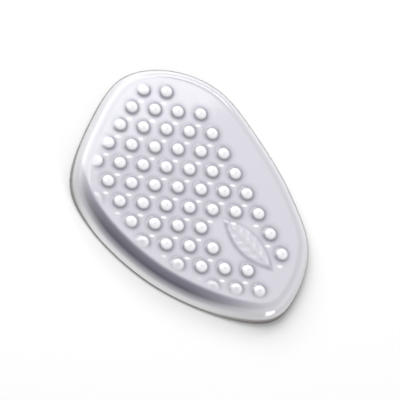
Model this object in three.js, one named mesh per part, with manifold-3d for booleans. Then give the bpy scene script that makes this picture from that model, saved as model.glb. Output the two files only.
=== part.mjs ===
// Metatarsal pad: a clear gel cushion that lies in a shoe, under the ball of the foot.
//
// It is one moulding. The underside is flat, the plan is egg-shaped, and the top rounds
// over to a thin edge. On the inner side it falls in an S-curve instead, and runs out
// in a lip. Small round studs stand on the top in staggered columns and fade out
// towards the edge. A leaf in low relief takes the place of some of them.
//
// Millimetres, +Z up. The pad lies on the XY plane with its wide, toe end towards
// +Y, and the origin is under the middle of its bounding box.

import * as THREE from "three";
import { mergeVertices } from "three/addons/utils/BufferGeometryUtils.js";
import Module from "manifold-3d";

// Body
const PAD_LENGTH = 80; // toe end to heel end
const PAD_WIDTH = 57.3; // side to side at the widest place
const PAD_THICKNESS = 5.5; // underside to the flat of the top
const EDGE_THICKNESS = 0.6; // of the thin edge that the shoulder runs out into
const SHOULDER_REACH = 4.5; // from the edge in to where the top is flat
const SHOULDER_FLARE = 1.5; // 1 makes the inner shoulder an even S-curve, more a longer foot
const INNER_FROM = 0.3; // how squarely a side faces inwards where the lip begins
const INNER_FULL = 0.9; // and where it is at its full width

// Studs
const STUD_DIAMETER = 4; // where a stud meets the top
const STUD_HEIGHT = 0.95;
const STUD_PITCH = 6.5; // between neighbours, whichever way
const STUDS_FROM = 4.2; // from the edge in to where studs begin to stand out
const STUDS_FULL = 8; // from the edge in to where they have their full height
const LEAST_RISE = 0.15; // a lower stud is left out

// Leaf
const LEAF_LENGTH = 19;
const LEAF_WIDTH = 7;
const LEAF_HEIGHT = 0.4; // top of the leaf above the top of the pad
const LEAF_BEVEL = 0.3; // sloping rim of the leaf
const LEAF_TURN = 15; // degrees that its tip leans from the pad's long axis
const LEAF_GAP = 0.8; // clear of it all round, before the next stud

const ROOT = 0.6; // how deep the studs and the leaf are bedded in the top

// Fineness of the faceted surfaces
const EDGE_SIDES = 96;
const SHOULDER_STEPS = 8;
const LAST_RING = 1.2; // where the last ring lies, in shoulder reaches
const STUD_SIDES = 12;
const STUD_STEPS = 4;
const LEAF_SIDES = 10;

// The curve of the edge passes through these places, anticlockwise seen from above.
// across is a share of the pad's width, along is a share of its length.
const EDGE = [
  { across: 0.495, along: -0.145 },
  { across: 0.5, along: 0.07 },
  { across: 0.44, along: 0.32 },
  { across: 0.255, along: 0.46 },
  { across: 0.03, along: 0.5 },
  { across: -0.225, along: 0.405 },
  { across: -0.47, along: 0.23 },
  { across: -0.49, along: 0.07 },
  { across: -0.363, along: -0.198 },
  { across: -0.104, along: -0.424 },
  { across: 0.09, along: -0.5 },
  { across: 0.255, along: -0.46 },
  { across: 0.435, along: -0.33 },
];

// The way that the inner side of the pad faces.
const INNER_SIDE = new THREE.Vector2(-0.885, -0.466);

// Where the middle stud and the middle of the leaf sit, as shares of width and length.
const STUD_FIELD = { across: -0.0348, along: -0.0319 };
const LEAF_PLACE = { across: 0.1332, along: -0.2354 };

// The columns of studs. column counts sideways from the middle one, and front and
// back are its last studs towards the toe and the heel, counted in pitches from the
// middle stud. Every other column is half a pitch out, which staggers the field.
const STUD_COLUMNS = [
  { column: -4, front: 2, back: 2 },
  { column: -3, front: 3.5, back: -0.5 },
  { column: -2, front: 4, back: -2 },
  { column: -1, front: 4.5, back: -3.5 },
  { column: 0, front: 5, back: -4 },
  { column: 1, front: 5.5, back: -4.5 },
  { column: 2, front: 5, back: -4 },
  { column: 3, front: 3.5, back: -3.5 },
];

const wasm = await Module();
wasm.setup();

// The edge

// Evenly spaced points round the edge, stretched to exactly the pad's length and
// width and centred on the origin.
function edgePoints() {
  const places = EDGE.map(
    ({ across, along }) => new THREE.Vector3(across * PAD_WIDTH, along * PAD_LENGTH, 0),
  );
  const curve = new THREE.CatmullRomCurve3(places, true, "centripetal");
  const points = curve.getSpacedPoints(EDGE_SIDES).slice(0, EDGE_SIDES);
  const box = new THREE.Box3().setFromPoints(points);
  const middle = box.getCenter(new THREE.Vector3());
  const size = box.getSize(new THREE.Vector3());
  return points.map(
    (p) =>
      new THREE.Vector2(
        ((p.x - middle.x) * PAD_WIDTH) / size.x,
        ((p.y - middle.y) * PAD_LENGTH) / size.y,
      ),
  );
}

const edge = edgePoints();

// Distance from a point to the straight piece between a and b.
function distanceToPiece(point, a, b) {
  const along = b.clone().sub(a);
  const reach = point.clone().sub(a).dot(along) / along.lengthSq();
  const foot = a.clone().addScaledVector(along, THREE.MathUtils.clamp(reach, 0, 1));
  return foot.distanceTo(point);
}

// How far in from the edge a point of the top lies.
function distanceToEdge(point) {
  const pieces = edge.map((a, i) => distanceToPiece(point, a, edge[(i + 1) % edge.length]));
  return Math.min(...pieces);
}

// Height of the top over a point: up the shoulder, then flat. The shoulder is an S-curve
// with a lip on the inner side, and a quarter of an ellipse on the others.
function topHeight(point) {
  const facing = point.clone().normalize().dot(INNER_SIDE);
  const inner = THREE.MathUtils.smoothstep(facing, INNER_FROM, INNER_FULL);
  const wayIn = Math.min(distanceToEdge(point) / SHOULDER_REACH, 1);
  const rounded = Math.sqrt(1 - (1 - wayIn) ** 2);
  const flared = THREE.MathUtils.smoothstep(wayIn ** SHOULDER_FLARE, 0, 1);
  const share = THREE.MathUtils.lerp(rounded, flared, inner);
  return THREE.MathUtils.lerp(EDGE_THICKNESS, PAD_THICKNESS, share);
}

// Solids

// A closed triangle geometry, as a solid that can be joined to others.
function solid(geometry) {
  const bare = geometry.index ? geometry.toNonIndexed() : geometry;
  bare.deleteAttribute("normal");
  bare.deleteAttribute("uv");
  const merged = mergeVertices(bare, 1e-4);
  const mesh = new wasm.Mesh({
    numProp: 3,
    vertProperties: new Float32Array(merged.attributes.position.array),
    triVerts: new Uint32Array(merged.index.array),
  });
  return new wasm.Manifold(mesh);
}

// The way back, from a solid to a geometry.
function geometryOf(manifold) {
  const mesh = manifold.getMesh();
  const geometry = new THREE.BufferGeometry();
  geometry.setAttribute("position", new THREE.BufferAttribute(mesh.vertProperties, 3));
  geometry.setIndex(new THREE.BufferAttribute(mesh.triVerts, 1));
  const faceted = geometry.toNonIndexed();
  faceted.computeVertexNormals();
  return faceted;
}

// Body of the pad: rings of points that follow the edge. The first goes round the
// underside, the next stands over it on the thin edge, and the others step in towards
// the middle, up the shoulder and a little past it, where the top is flat.
function bodySolid() {
  const steps = Array.from(
    { length: SHOULDER_STEPS + 1 },
    (_, k) => (SHOULDER_REACH * k) / SHOULDER_STEPS,
  );
  steps.push(SHOULDER_REACH * LAST_RING);
  const rings = steps.map((step) =>
    edge.map((p) => {
      const moved = p.clone().multiplyScalar(1 - step / p.length());
      return new THREE.Vector3(moved.x, moved.y, topHeight(moved));
    }),
  );
  rings.unshift(edge.map((p) => new THREE.Vector3(p.x, p.y, 0)));
  const floor = new THREE.Vector3(0, 0, 0);
  const crown = new THREE.Vector3(0, 0, PAD_THICKNESS);
  const triangles = [];
  for (let i = 0; i < EDGE_SIDES; i += 1) {
    const next = (i + 1) % EDGE_SIDES;
    triangles.push(floor, rings[0][next], rings[0][i]);
    for (let k = 0; k < rings.length - 1; k += 1) {
      triangles.push(rings[k][i], rings[k][next], rings[k + 1][next]);
      triangles.push(rings[k][i], rings[k + 1][next], rings[k + 1][i]);
    }
    triangles.push(crown, rings.at(-1)[i], rings.at(-1)[next]);
  }
  return solid(new THREE.BufferGeometry().setFromPoints(triangles));
}

// How much of its full height a stud has at this place.
function studShare(place) {
  return THREE.MathUtils.smoothstep(distanceToEdge(place), STUDS_FROM, STUDS_FULL);
}

// One stud: a cap of a sphere over a short root that is bedded in the top. A lower
// stud is smaller across too.
function studSolid(place) {
  const radius = (STUD_DIAMETER / 2) * Math.sqrt(studShare(place));
  const rise = STUD_HEIGHT * studShare(place);
  const sphere = (radius * radius + rise * rise) / (2 * rise);
  const opening = Math.asin(Math.min(radius / sphere, 1));
  const profile = [new THREE.Vector2(0, -ROOT), new THREE.Vector2(radius, -ROOT)];
  for (let k = 0; k <= STUD_STEPS; k += 1) {
    const turn = opening * (1 - k / STUD_STEPS);
    const across = k < STUD_STEPS ? sphere * Math.sin(turn) : 0;
    profile.push(new THREE.Vector2(across, rise - sphere * (1 - Math.cos(turn))));
  }
  const cap = new THREE.LatheGeometry(profile, STUD_SIDES);
  cap.rotateX(Math.PI / 2);
  cap.translate(place.x, place.y, topHeight(place));
  return solid(cap);
}

// The leaf

const leafMiddle = new THREE.Vector2(LEAF_PLACE.across * PAD_WIDTH, LEAF_PLACE.along * PAD_LENGTH);
const leafTurn = THREE.MathUtils.degToRad(LEAF_TURN);

// A point of the pad seen from the leaf, whose own y runs from point to point.
function fromLeaf(point) {
  return point.clone().sub(leafMiddle).rotateAround(new THREE.Vector2(), -leafTurn);
}

// Two equal bows that meet in a point at each end. Each bends half as far out as its
// control point lies.
function leafShape() {
  const half = LEAF_LENGTH / 2;
  const shape = new THREE.Shape();
  shape.moveTo(0, -half);
  shape.quadraticCurveTo(LEAF_WIDTH, 0, 0, half);
  shape.quadraticCurveTo(-LEAF_WIDTH, 0, 0, -half);
  return shape;
}

// Whether a stud at this place would stand on the leaf or too close to it.
function meetsLeaf(place) {
  const seen = fromLeaf(place);
  const clear = STUD_DIAMETER / 2 + LEAF_GAP;
  const rim = leafShape().getPoints(LEAF_SIDES);
  const near = rim.some((p) => p.distanceTo(seen) < clear);
  const share = seen.y / (LEAF_LENGTH / 2);
  return near || Math.abs(seen.x) < (LEAF_WIDTH / 2) * (1 - share * share);
}

function leafSolid() {
  const leaf = new THREE.ExtrudeGeometry(leafShape(), {
    depth: LEAF_HEIGHT + ROOT - 2 * LEAF_BEVEL,
    steps: 1,
    curveSegments: LEAF_SIDES,
    bevelThickness: LEAF_BEVEL,
    bevelSize: LEAF_BEVEL,
    bevelOffset: -LEAF_BEVEL,
    bevelSegments: 1,
  });
  leaf.translate(0, 0, PAD_THICKNESS - ROOT + LEAF_BEVEL);
  leaf.rotateZ(leafTurn);
  leaf.translate(leafMiddle.x, leafMiddle.y, 0);
  return solid(leaf);
}

// The studs' places, without those on the leaf or too close to it and those too low.
function studPlaces() {
  const places = [];
  for (const { column, front, back } of STUD_COLUMNS) {
    for (let step = front; step >= back; step -= 1) {
      const x = STUD_FIELD.across * PAD_WIDTH + column * STUD_PITCH * Math.cos(Math.PI / 6);
      const y = STUD_FIELD.along * PAD_LENGTH + step * STUD_PITCH;
      places.push(new THREE.Vector2(x, y));
    }
  }
  const tall = (place) => STUD_HEIGHT * studShare(place) > LEAST_RISE;
  return places.filter((place) => !meetsLeaf(place) && tall(place));
}

// The moulding

let moulding = bodySolid().add(leafSolid());
for (const place of studPlaces()) {
  moulding = moulding.add(studSolid(place));
}

const clearGel = new THREE.MeshStandardMaterial({
  color: "#dedee6",
  roughness: 0.12,
  metalness: 0,
});

const gelPad = new THREE.Mesh(geometryOf(moulding), clearGel);
gelPad.name = "gel_pad";

const metatarsalPad = new THREE.Group();
metatarsalPad.add(gelPad);

export default metatarsalPad;
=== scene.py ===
"""A clear gel metatarsal pad, lying on a pale floor under soft studio light."""

import math

import bmesh
import bpy
from mathutils import Matrix, Vector


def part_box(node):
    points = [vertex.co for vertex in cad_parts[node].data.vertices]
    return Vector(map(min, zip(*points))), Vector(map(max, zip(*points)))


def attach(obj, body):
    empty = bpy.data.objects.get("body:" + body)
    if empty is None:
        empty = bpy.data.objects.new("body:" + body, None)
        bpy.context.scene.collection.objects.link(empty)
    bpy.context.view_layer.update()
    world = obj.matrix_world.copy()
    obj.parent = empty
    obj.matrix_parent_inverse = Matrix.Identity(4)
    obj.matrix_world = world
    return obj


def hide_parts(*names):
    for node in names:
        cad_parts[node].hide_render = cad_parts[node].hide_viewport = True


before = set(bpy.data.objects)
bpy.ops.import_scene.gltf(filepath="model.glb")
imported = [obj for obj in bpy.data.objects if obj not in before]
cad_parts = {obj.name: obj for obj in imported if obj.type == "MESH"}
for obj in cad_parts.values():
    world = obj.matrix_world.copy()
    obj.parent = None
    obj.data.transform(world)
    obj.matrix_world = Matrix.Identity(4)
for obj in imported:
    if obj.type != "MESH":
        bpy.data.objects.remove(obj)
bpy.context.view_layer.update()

MM = 0.001


# The gel pad
# One casting of clear, soft gel from an open mould: a flat, tacky underside and a glossy
# top that rounds over to a thin edge, but falls in an S-curve to a lip on its long side.
# The studs and the leaf are of the same gel, and run into the top in small fillets.

# The curve of the edge passes through these places, anticlockwise from above, as
# shares of the pad's width and length.
EDGE = [
    {"across": 0.495, "along": -0.145},
    {"across": 0.5, "along": 0.07},
    {"across": 0.44, "along": 0.32},
    {"across": 0.255, "along": 0.46},
    {"across": 0.03, "along": 0.5},
    {"across": -0.225, "along": 0.405},
    {"across": -0.47, "along": 0.23},
    {"across": -0.49, "along": 0.07},
    {"across": -0.363, "along": -0.198},
    {"across": -0.104, "along": -0.424},
    {"across": 0.09, "along": -0.5},
    {"across": 0.255, "along": -0.46},
    {"across": 0.435, "along": -0.33},
]

lowest, highest = (Vector(corner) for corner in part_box("gel_pad"))
PAD_WIDTH = highest.x - lowest.x
PAD_LENGTH = highest.y - lowest.y
STUD_HEIGHT = 0.95 * MM
PAD_THICKNESS = highest.z - lowest.z - STUD_HEIGHT
EDGE_THICKNESS = 0.6 * MM
SHOULDER_REACH = 4.5 * MM
SHOULDER_BULGE = 1.1  # length of the shoulder down its curve, against a straight line
SHOULDER_FLARE = 1.5  # 1 makes the inner shoulder an even S-curve, more a longer foot

# The side that has the S-curve and the lip is guessed: this is the way over the floor
# to where the photo's camera stands. The long side faces within 1.5 degrees of it.
INNER_SIDE = Vector((-0.885, -0.466))
INNER_FROM = 0.3  # how squarely a side faces that way where the lip begins
INNER_FULL = 0.9  # and where it is at its full width

GRID_SIDE = 240  # cells along a side of the sheet that is laid over the pad
EDGE_POINTS = GRID_SIDE * 4
EDGE_STRIDE = 8  # edge points are skipped so when the distance to the edge is taken
EDGE_EVENED = 2 * MM  # reach over which the direction in from the edge is evened out
CURVE_STEPS = 200  # between two places of the edge
TINY = 1e-9


def catmull_rom(before, start, end, after, share):
    """A point between start and end, on the centripetal curve through all four."""
    places = (before, start, end, after)
    knots = [0.0]
    for a, b in zip(places, places[1:]):
        knots.append(knots[-1] + math.sqrt((b - a).length))
    here = knots[1] + share * (knots[2] - knots[1])
    points = places
    # Each round blends neighbouring points, by the two knots given for each pair.
    for spans in (((0, 1), (1, 2), (2, 3)), ((0, 2), (1, 3)), ((1, 2),)):
        points = [
            a.lerp(b, (here - knots[low]) / (knots[high] - knots[low]))
            for a, b, (low, high) in zip(points, points[1:], spans)
        ]
    return points[0]


def edge_ring(count):
    """Evenly spaced points round the edge, stretched to the pad's exact box."""
    places = [
        Vector((row["across"] * PAD_WIDTH, row["along"] * PAD_LENGTH)) for row in EDGE
    ]
    fine = []
    for i in range(len(places)):
        four = [places[(i + k) % len(places)] for k in (-1, 0, 1, 2)]
        fine += [catmull_rom(*four, step / CURVE_STEPS) for step in range(CURVE_STEPS)]
    fine.append(fine[0].copy())
    run = [0.0]
    for a, b in zip(fine, fine[1:]):
        run.append(run[-1] + (b - a).length)
    ring = []
    at = 0
    for i in range(count):
        target = run[-1] * i / count
        while run[at + 1] < target:
            at += 1
        share = (target - run[at]) / (run[at + 1] - run[at])
        ring.append(fine[at].lerp(fine[at + 1], share))
    for axis, size in ((0, PAD_WIDTH), (1, PAD_LENGTH)):
        low = min(p[axis] for p in ring)
        high = max(p[axis] for p in ring)
        for p in ring:
            p[axis] = (p[axis] - (low + high) / 2) * size / (high - low)
    return ring


def inward_ring(ring, reach):
    """The direction in from each point of the edge, evened out over a short reach."""
    count = len(ring)
    span = max(1, round(reach / (ring[1] - ring[0]).length))
    inward = []
    for i in range(count):
        along = ring[(i + span) % count] - ring[i - span]
        inward.append(Vector((-along.y, along.x)).normalized())
    return inward


edge = edge_ring(EDGE_POINTS)
inward = inward_ring(edge, EDGE_EVENED)


def on_ring(ring, turn):
    """A ring's value at a share of the way round."""
    at = turn % 1 * len(ring)
    low = int(at)
    return ring[low % len(ring)].lerp(ring[(low + 1) % len(ring)], at - low)


# Studs, in staggered columns. column counts sideways from the middle one; front and
# back are its last studs towards the toe and the heel, in pitches from the middle stud.
STUD_COLUMNS = [
    {"column": -4, "front": 2, "back": 2},
    {"column": -3, "front": 3.5, "back": -0.5},
    {"column": -2, "front": 4, "back": -2},
    {"column": -1, "front": 4.5, "back": -3.5},
    {"column": 0, "front": 5, "back": -4},
    {"column": 1, "front": 5.5, "back": -4.5},
    {"column": 2, "front": 5, "back": -4},
    {"column": 3, "front": 3.5, "back": -3.5},
]
STUD_FIELD = Vector((-0.0348 * PAD_WIDTH, -0.0319 * PAD_LENGTH))
STUD_PITCH = 6.5 * MM
STUD_RADIUS = 2 * MM
STUD_FOOT = 0.06 * MM  # height over which the fillet at the foot blends
STUDS_FROM = 4.2 * MM  # in from the edge, where the studs begin to stand out
STUDS_FULL = 8 * MM  # in from the edge, where they have their full height

# Each stud gathers light through the gel into a short gleam beside it. Where the gleam
# lies, from the stud's middle, is as the photo's light throws it.
# The gleam is a painted highlight: white mixed into the gel's colour.
GLEAM_OFFSET = Vector((-2.35 * MM, -2.74 * MM))
GLEAM = {"turn": math.radians(-33), "length": 1.05 * MM, "width": 0.45 * MM}
GLEAM_CORE = 0.35  # share of its length and width that is at full strength

LEAF_MIDDLE = Vector((0.1332 * PAD_WIDTH, -0.2354 * PAD_LENGTH))
LEAF_TURN = math.radians(15)
LEAF_LENGTH = 19 * MM
LEAF_WIDTH = 7 * MM
LEAF_HEIGHT = 0.4 * MM
LEAF_RIM = 0.6 * MM  # width of the rounded rim of the leaf
LEAF_LINE = 0.4 * MM  # how far the shade along its outline spreads
LEAF_LEAN = 0.85  # straight way to its slanting outline, against the way across
LEAF_GAP = 0.8 * MM
MIDRIB = {"width": 0.45 * MM, "height": 0.2 * MM}
VEIN = {"spacing": 2.6 * MM, "slant": 0.8, "width": 0.35 * MM, "height": 0.13 * MM}


def from_leaf(point):
    """A place on the pad as the leaf has it: y runs from its stalk to its tip."""
    return Matrix.Rotation(-LEAF_TURN, 2) @ (point - LEAF_MIDDLE)


def leaf_half_width(y):
    """Half the leaf's width at a distance from its middle."""
    share = y / (LEAF_LENGTH / 2)
    return LEAF_WIDTH / 2 * (1 - share * share)


def into_leaf(seen):
    """How far inside its outline the leaf has a place, about: less than 0 outside."""
    return (leaf_half_width(seen.y) - abs(seen.x)) * LEAF_LEAN


def stud_places():
    """The middles of all the studs that stand clear of the leaf."""
    places = []
    for row in STUD_COLUMNS:
        step = row["front"]
        while step >= row["back"]:
            across = row["column"] * math.cos(math.pi / 6)
            places.append(STUD_FIELD + STUD_PITCH * Vector((across, step)))
            step -= 1
    clear = STUD_RADIUS + LEAF_GAP
    seen = [from_leaf(place) for place in places]
    return [p for p, s in zip(places, seen) if abs(s.x) > leaf_half_width(s.y) + clear]


def share_between(value, low, high):
    """How far a value is from low to high, from 0 to 1."""
    return min(max((value - low) / (high - low), 0), 1)


def smooth_step(share):
    """An S-curve from 0 to 1."""
    return share * share * (3 - 2 * share)


def smooth_larger(a, b, blend):
    """The larger of two heights, rounded off where they are less than blend apart."""
    share = share_between(a - b, -blend, blend)
    return b + (a - b) * share + blend * share * (1 - share)


def painted_gleam_share(offset):
    """How bright the painted gleam is at a place, counted from the stud that throws it."""
    seen = Matrix.Rotation(-GLEAM["turn"], 2) @ (offset - GLEAM_OFFSET)
    away = math.hypot(seen.x / GLEAM["length"], seen.y / GLEAM["width"])
    return smooth_step(share_between(away, 1, GLEAM_CORE))


def stud_rise(distance):
    """Height of a stud over the top at a distance from its middle: a cap of a sphere."""
    sphere = (STUD_RADIUS**2 + STUD_HEIGHT**2) / (2 * STUD_HEIGHT)
    if distance >= sphere:
        return 0.0
    cap = math.sqrt(sphere**2 - distance**2) - (sphere - STUD_HEIGHT)
    return smooth_larger(cap, 0, STUD_FOOT)


def leaf_outline_shade(point):
    """How near a place is to the line round the leaf, from 0 to 1 on the line, for the
    painted shade along it.
    """
    return math.exp(-((into_leaf(from_leaf(point)) / LEAF_LINE) ** 2))


def leaf_rise(point):
    """Height of the leaf over the top: a rounded rim, a midrib and slanting veins."""
    seen = from_leaf(point)
    inside = into_leaf(seen)
    if inside <= 0:
        return 0.0
    rim = min(inside / LEAF_RIM, 1)
    blade = LEAF_HEIGHT * smooth_step(rim)
    rib = MIDRIB["height"] * math.exp(-((seen.x / MIDRIB["width"]) ** 2))
    phase = (seen.y - abs(seen.x) * VEIN["slant"]) / VEIN["spacing"]
    off = abs(phase - round(phase)) * VEIN["spacing"]
    vein = VEIN["height"] * math.exp(-((off / VEIN["width"]) ** 2))
    return blade + (rib + vein) * rim


# Rings down the thin edge and in under it, in millimetres. inward counts from the
# ring above.
EDGE_RINGS = [
    {"inward": 0.0, "height": 0.45},
    {"inward": 0.0, "height": 0.15},
    {"inward": 0.1, "height": 0.0},
    {"inward": 0.5, "height": 0.0},
]


def turn_on_sheet(x, y):
    """How far round the square sheet a place on it is, as a share of a turn."""
    if max(abs(x), abs(y)) < TINY:
        return 0.0
    if abs(x) >= abs(y):
        return (y / x) / 8 + (0 if x > 0 else 0.5)
    return 0.25 - (x / y) / 8 + (0 if y > 0 else 0.5)


def shoulder_share(way_in, inner):
    """Share of the full height at a share of the way in over the shoulder."""
    rounded = math.sqrt(max(1 - (1 - way_in) ** 2, 0))
    return rounded + (smooth_step(way_in**SHOULDER_FLARE) - rounded) * inner


def stud_cell(place):
    """The square, one pitch wide, that a place is in."""
    return math.floor(place.x / STUD_PITCH), math.floor(place.y / STUD_PITCH)


def build_pad():
    """A square sheet of fine cells, laid over the pad as a disc and shaped."""
    shape = bmesh.new()
    bmesh.ops.create_grid(shape, x_segments=GRID_SIDE, y_segments=GRID_SIDE, size=1)
    arc = math.hypot(SHOULDER_REACH, PAD_THICKNESS) * SHOULDER_BULGE
    flat = PAD_WIDTH / 2 - SHOULDER_REACH
    shoulder_from = flat / (flat + arc)
    shoulder_layer = shape.verts.layers.float.new("shoulder")
    stud_layer = shape.verts.layers.float.new("stud_distance")
    top_layer = shape.verts.layers.float.new("stud_share")
    gleam_layer = shape.verts.layers.float.new("painted_gleam_share")
    leaf_layer = shape.verts.layers.float.new("leaf_outline_shade")
    inner_layer = shape.verts.layers.float.new("inner_share")
    studs_by_cell = {}
    for stud in stud_places():
        studs_by_cell.setdefault(stud_cell(stud), []).append(stud)
    for vertex in shape.verts:
        x, y = vertex.co.x, vertex.co.y
        out = max(abs(x), abs(y))
        turn = turn_on_sheet(x, y)
        rim = on_ring(edge, turn)
        into = on_ring(inward, turn).normalized()
        way_in = min((1 - out) / (1 - shoulder_from), 1)
        flat_rim = rim + into * SHOULDER_REACH
        if way_in < 1:
            plan = rim.lerp(flat_rim, way_in)
        else:
            plan = flat_rim * (out / shoulder_from)
        facing = plan.normalized().dot(INNER_SIDE)
        inner = smooth_step(share_between(facing, INNER_FROM, INNER_FULL))
        rise = shoulder_share(way_in, inner)
        height = EDGE_THICKNESS + (PAD_THICKNESS - EDGE_THICKNESS) * rise
        vertex[shoulder_layer] = 1 - way_in
        vertex[inner_layer] = inner
        if out < 1 - TINY:
            column, step = stud_cell(plan)
            near = [
                plan - stud
                for i in (-1, 0, 1)
                for j in (-1, 0, 1)
                for stud in studs_by_cell.get((column + i, step + j), ())
            ]
            distance = min((offset.length for offset in near), default=STUD_PITCH)
            from_edge = min((plan - place).length for place in edge[::EDGE_STRIDE])
            top = smooth_step(share_between(from_edge, STUDS_FROM, STUDS_FULL))
            height += stud_rise(distance) * top
            height += leaf_rise(plan)
            vertex[leaf_layer] = leaf_outline_shade(plan)
            vertex[stud_layer] = distance / STUD_RADIUS
            vertex[top_layer] = top
            vertex[gleam_layer] = max(map(painted_gleam_share, near), default=0) * top
        vertex.co = (plan.x, plan.y, height)
    # Close the underside: down the thin edge, in a little, and one flat face.
    rim_edges = [e for e in shape.edges if e.is_boundary]
    for row in EDGE_RINGS:
        grown = bmesh.ops.extrude_edge_only(shape, edges=rim_edges)["geom"]
        for v in (g for g in grown if isinstance(g, bmesh.types.BMVert)):
            direction = Vector((v.co.x, v.co.y, 0)).normalized()
            v.co -= direction * row["inward"] * MM
            v.co.z = row["height"] * MM
        rim_edges = [g for g in grown if isinstance(g, bmesh.types.BMEdge)]
    bmesh.ops.edgeloop_fill(shape, edges=rim_edges)
    bmesh.ops.recalc_face_normals(shape, faces=shape.faces)
    for face in shape.faces:
        face.smooth = True
    mesh = bpy.data.meshes.new("gel_pad_moulding")
    shape.to_mesh(mesh)
    shape.free()
    return mesh


gel_pad = bpy.data.objects.new("gel_pad_moulding", build_pad())
bpy.context.scene.collection.objects.link(gel_pad)


# Clear gel: a soft silicone-like elastomer, cast against a polished mould. It is
# see-through and faintly lilac, with a wet gloss. Its colour also holds painted light and
# shade that follow the form, standing for the light that a white ground throws up through
# it and that its curved parts bend.
def linear(hex_colour):
    """An sRGB hex colour as linear RGBA."""
    channels = [int(hex_colour[i : i + 2], 16) / 255 for i in (1, 3, 5)]
    levels = [c / 12.92 if c <= 0.04045 else ((c + 0.055) / 1.055) ** 2.4 for c in channels]
    return (*levels, 1)


def add_node(tree, kind, settings=None, **links):
    """A node with its settings, and its inputs set or linked by name."""
    node = tree.nodes.new(kind)
    for name, value in (settings or {}).items():
        setattr(node, name, value)
    for name, value in links.items():
        socket = node.inputs[name.replace("_", " ")]
        if isinstance(value, bpy.types.NodeSocket):
            tree.links.new(value, socket)
        else:
            socket.default_value = value
    return node


def ramp_node(tree, share, stops):
    """A colour ramp over a share, from rows of place and colour."""
    node = add_node(tree, "ShaderNodeValToRGB", Fac=share)
    ramp = node.color_ramp
    while len(ramp.elements) < len(stops):
        ramp.elements.new(1.0)
    for element, stop in zip(ramp.elements, stops):
        element.position = stop["at"]
        element.color = linear(stop["colour"])
    return node.outputs["Color"]


def mix_node(tree, share, none, whole):
    """A blend from one colour to another."""
    return add_node(
        tree, "ShaderNodeMix", {"data_type": "RGBA"}, Factor=share, A=none, B=whole
    ).outputs["Result"]


# Tints down the inner shoulder, from where the top turns flat (0) to the edge (1): painted
# shade, dark just over the shoulder; painted light, pale on the lip where the gel is thin;
# and a painted dark line at the very edge.
SHOULDER_PAINTED_LIGHT_AND_SHADE = [
    {"at": 0.0, "colour": "#cdccd4"},
    {"at": 0.04, "colour": "#c9c8d0"},
    {"at": 0.17, "colour": "#807e8e"},
    {"at": 0.42, "colour": "#535160"},
    {"at": 0.62, "colour": "#c4c4cb"},
    {"at": 0.74, "colour": "#fafafc"},
    {"at": 0.93, "colour": "#fafafc"},
    {"at": 1.0, "colour": "#9a9694"},
]

# Tints of the rounded shoulder on the other sides, as painted light and shade: a little
# darker just past the top, paler lower down, and a painted dark grey-brown line at the
# edge.
ROUND_PAINTED_LIGHT_AND_SHADE = [
    {"at": 0.0, "colour": "#cdccd4"},
    {"at": 0.12, "colour": "#c3c2ca"},
    {"at": 0.3, "colour": "#c6c5cc"},
    {"at": 0.55, "colour": "#dddce2"},
    {"at": 0.88, "colour": "#e0dee1"},
    {"at": 0.95, "colour": "#7d7875"},
    {"at": 1.0, "colour": "#67625f"},
]

# Tints of a stud, from its middle (0) to well clear of its foot (1, or two radii): a
# painted highlight on the cap, a little greyer at its very middle, and a painted dark ring
# of shade round its foot.
STUD_REACH = 2.0
STUD_PAINTED_LIGHT_AND_SHADE = [
    {"at": 0.0, "colour": "#d4d4db"},
    {"at": 0.1, "colour": "#dedee4"},
    {"at": 0.18, "colour": "#f0f0f3"},
    {"at": 0.34, "colour": "#eaeaee"},
    {"at": 0.46, "colour": "#96959f"},
    {"at": 0.55, "colour": "#a9a8b2"},
    {"at": 0.72, "colour": "#c4c3cc"},
    {"at": 1.0, "colour": "#cdccd4"},
]

# Painted shade: the gel is coloured darker along the leaf's outline.
LEAF_PAINTED_SHADE = "#b3b2bd"  # the shade along the leaf's outline
# Painted highlight: the white of the gleams beside the studs.
PAINTED_GLEAM_TINT = "#ffffff"

# The gel shows clearer down the shoulder, where it thins. DEEP_CLEAR and THIN_CLEAR are
# shares of light let through, and the other two are places down the shoulder.
THIN_FROM = 0.5
THIN_FULL = 0.75
DEEP_CLEAR = 0.12
THIN_CLEAR = 0.3

# It is at its clearest where it is seen along its skin, as glass is. Seen from 15 degrees
# up or lower, this also makes the flat top look dark.
GRAZE_FROM = 0.5
GRAZE_FULL = 0.8
GRAZE_CLEAR = 0.9

# The polish of the mould varies a little, in patches of about 11 mm, and the skin has
# ripples about 4 mm apart, too low to feel.
HAZE_SIZE = 1000 / 90 * MM
HAZE_LOW = 0.3
HAZE_HIGH = 0.7
POLISHED = 0.05
HAZED = 0.11
RIPPLE_SIZE = 1000 / 260 * MM
RIPPLE_HEIGHT = 0.03 * MM
RIPPLE_STRENGTH = 0.35
GEL_IOR = 1.42
WET_COAT = 0.4
WET_COAT_ROUGHNESS = 0.06

clear_gel = bpy.data.materials.new("clear_gel_cast_glossy")
clear_gel.use_nodes = True
tree = clear_gel.node_tree
tree.nodes.clear()


def own_share(name):
    """A share that the pad's mesh holds at each of its points."""
    return add_node(tree, "ShaderNodeAttribute", {"attribute_name": name}).outputs["Fac"]


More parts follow.
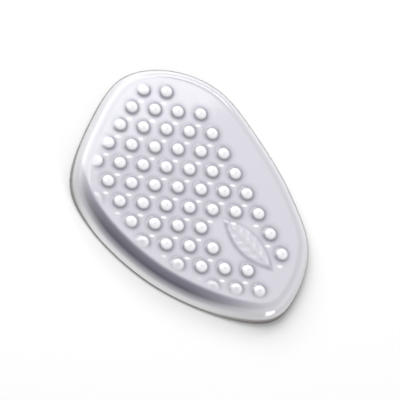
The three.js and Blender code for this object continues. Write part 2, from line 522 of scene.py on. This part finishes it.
object_place = add_node(tree, "ShaderNodeTexCoord").outputs["Object"]
haze = add_node(
    tree, "ShaderNodeTexNoise", Vector=object_place, Scale=1 / HAZE_SIZE, Detail=3.0
)
ripple = add_node(
    tree, "ShaderNodeTexNoise", Vector=object_place, Scale=1 / RIPPLE_SIZE, Detail=2.0
)
gloss = add_node(
    tree,
    "ShaderNodeMapRange",
    Value=haze.outputs["Fac"],
    From_Min=HAZE_LOW,
    From_Max=HAZE_HIGH,
    To_Min=POLISHED,
    To_Max=HAZED,
)
skin = add_node(
    tree,
    "ShaderNodeBump",
    Height=ripple.outputs["Fac"],
    Strength=RIPPLE_STRENGTH,
    Distance=RIPPLE_HEIGHT,
)
stud_share = add_node(
    tree, "ShaderNodeMath", {"operation": "DIVIDE"}, Value=own_share("stud_distance")
)
stud_share.inputs[1].default_value = STUD_REACH
stud_light_and_shade = ramp_node(tree, stud_share.outputs["Value"], STUD_PAINTED_LIGHT_AND_SHADE)
# Painted light and shade of the shoulder: the inner side's dark band and pale lip blend
# into the rounded sides' tints by how squarely a side faces the camera's way.
shoulder_light_and_shade = mix_node(
    tree,
    own_share("inner_share"),
    ramp_node(tree, own_share("shoulder"), ROUND_PAINTED_LIGHT_AND_SHADE),
    ramp_node(tree, own_share("shoulder"), SHOULDER_PAINTED_LIGHT_AND_SHADE),
)
leaf_with_painted_shade = mix_node(tree, own_share("leaf_outline_shade"), stud_light_and_shade, linear(LEAF_PAINTED_SHADE))
with_painted_gleam = mix_node(tree, own_share("painted_gleam_share"), leaf_with_painted_shade, linear(PAINTED_GLEAM_TINT))
# The gel's colour with all its painted light and shade; the studs' highlights, the leaf's
# shade and the gleams fade in away from the edge.
gel_tint_with_painted_light = mix_node(tree, own_share("stud_share"), shoulder_light_and_shade, with_painted_gleam)
thin = add_node(
    tree,
    "ShaderNodeMapRange",
    Value=own_share("shoulder"),
    From_Min=THIN_FROM,
    From_Max=THIN_FULL,
    To_Min=DEEP_CLEAR,
    To_Max=THIN_CLEAR,
)
grazed = add_node(
    tree,
    "ShaderNodeMapRange",
    Value=add_node(tree, "ShaderNodeLayerWeight", Blend=0.5).outputs["Facing"],
    From_Min=GRAZE_FROM,
    From_Max=GRAZE_FULL,
    To_Min=0.0,
    To_Max=GRAZE_CLEAR,
)
clearness = add_node(
    tree, "ShaderNodeMath", {"operation": "MAXIMUM"}, Value=thin.outputs["Result"]
)
tree.links.new(grazed.outputs["Result"], clearness.inputs[1])
gel = add_node(
    tree,
    "ShaderNodeBsdfPrincipled",
    Base_Color=gel_tint_with_painted_light,
    Roughness=gloss.outputs["Result"],
    IOR=GEL_IOR,
    Transmission_Weight=clearness.outputs["Value"],
    Normal=skin.outputs["Normal"],
)
gel.inputs["Coat Weight"].default_value = WET_COAT
gel.inputs["Coat Roughness"].default_value = WET_COAT_ROUGHNESS
add_node(tree, "ShaderNodeOutputMaterial", Surface=gel.outputs["BSDF"])
gel_pad.data.materials.append(clear_gel)
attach(gel_pad, "root")
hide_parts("gel_pad")


# The studio
# A plain white paper floor. A large softbox stands behind on the left, a low strip
# behind for the glare on the far shoulder, and a weak low fill on the right.
bpy.context.scene.view_settings.view_transform = "Standard"
FLOOR_GAP = 0.05 * MM
FLOOR_REACH = 600 * MM
floor_shape = bmesh.new()
bmesh.ops.create_grid(floor_shape, x_segments=1, y_segments=1, size=FLOOR_REACH)
bmesh.ops.translate(floor_shape, verts=floor_shape.verts, vec=(0, 0, -FLOOR_GAP))
floor_mesh = bpy.data.meshes.new("floor")
floor_shape.to_mesh(floor_mesh)
floor_shape.free()
floor = bpy.data.objects.new("floor", floor_mesh)
bpy.context.scene.collection.objects.link(floor)

# White paper: matt, uncoated and plain, so that it gives the soft shadow alone.
PAPER_TINT = "#e4e4e4"
PAPER_ROUGHNESS = 0.9
PAPER_SHINE = 0.1
paper = bpy.data.materials.new("white_paper")
paper.use_nodes = True
paper_face = paper.node_tree.nodes["Principled BSDF"].inputs
paper_face["Base Color"].default_value = linear(PAPER_TINT)
paper_face["Roughness"].default_value = PAPER_ROUGHNESS
paper_face["Specular IOR Level"].default_value = PAPER_SHINE
floor.data.materials.append(paper)

# The camera has a long lens, and looks down steeply with the picture rolled. Its tilt
# and roll come from how the photo squashes the even grid of studs.
VIEW_AZIMUTH = math.radians(-62.2)
VIEW_ELEVATION = math.radians(63.8)
VIEW_ROLL = math.radians(34.8)
LENS = 250  # millimetres, as the sensor is
SENSOR = 36
VIEW_WIDTH = 110 * MM
AIM = Vector((4.27 * MM, -0.6 * MM, 0))
towards = Vector(
    (
        math.sin(VIEW_AZIMUTH) * math.cos(VIEW_ELEVATION),
        -math.cos(VIEW_AZIMUTH) * math.cos(VIEW_ELEVATION),
        math.sin(VIEW_ELEVATION),
    )
)
camera_data = bpy.data.cameras.new("camera")
camera_data.lens = LENS
camera_data.sensor_width = SENSOR
camera = bpy.data.objects.new("camera", camera_data)
bpy.context.scene.collection.objects.link(camera)
aimed = towards.to_track_quat("Z", "Y").to_matrix().to_4x4()
aimed = aimed @ Matrix.Rotation(VIEW_ROLL, 4, "Z")
camera_place = AIM + towards * VIEW_WIDTH * LENS / SENSOR
camera.matrix_world = Matrix.Translation(camera_place) @ aimed
bpy.context.scene.camera = camera

# The lights stand on a circle round the pad: turn is in degrees round from the camera,
# tilt in degrees from straight up, the sizes in metres and the power in watts.
LIGHT_AWAY = 0.61
SOFTBOXES = [
    {"name": "key", "turn": 238, "tilt": 45, "size": (0.62, 0.62), "power": 4.9},
    {"name": "back", "turn": 190, "tilt": 58, "size": (0.3, 0.14), "power": 0.75},
    {"name": "fill", "turn": 66, "tilt": 76, "size": (0.25, 0.2), "power": 1.9},
]
SURROUNDINGS = 0.42  # strength of the even white light from all round


def around(turn, tilt, away):
    """A place by degrees round from the camera, degrees from straight up, and metres."""
    near = Vector((towards.x, towards.y, 0)).normalized()
    level = Matrix.Rotation(math.radians(turn), 3, "Z") @ near
    down = math.radians(tilt)
    return away * (level * math.sin(down) + Vector((0, 0, math.cos(down))))


def softbox(name, place, size, power):
    """A rectangular area light that faces the pad."""
    light = bpy.data.lights.new(name, "AREA")
    light.shape = "RECTANGLE"
    light.size, light.size_y = size
    light.energy = power
    lamp = bpy.data.objects.new(name, light)
    lamp.location = place
    lamp.rotation_euler = (-place).to_track_quat("-Z", "Y").to_euler()
    bpy.context.scene.collection.objects.link(lamp)


for row in SOFTBOXES:
    place = around(row["turn"], row["tilt"], LIGHT_AWAY)
    softbox(row["name"], place, row["size"], row["power"])

world = bpy.data.worlds.new("studio")
world.use_nodes = True
world.node_tree.nodes["Background"].inputs["Color"].default_value = (1, 1, 1, 1)
world.node_tree.nodes["Background"].inputs["Strength"].default_value = SURROUNDINGS
bpy.context.scene.world = world
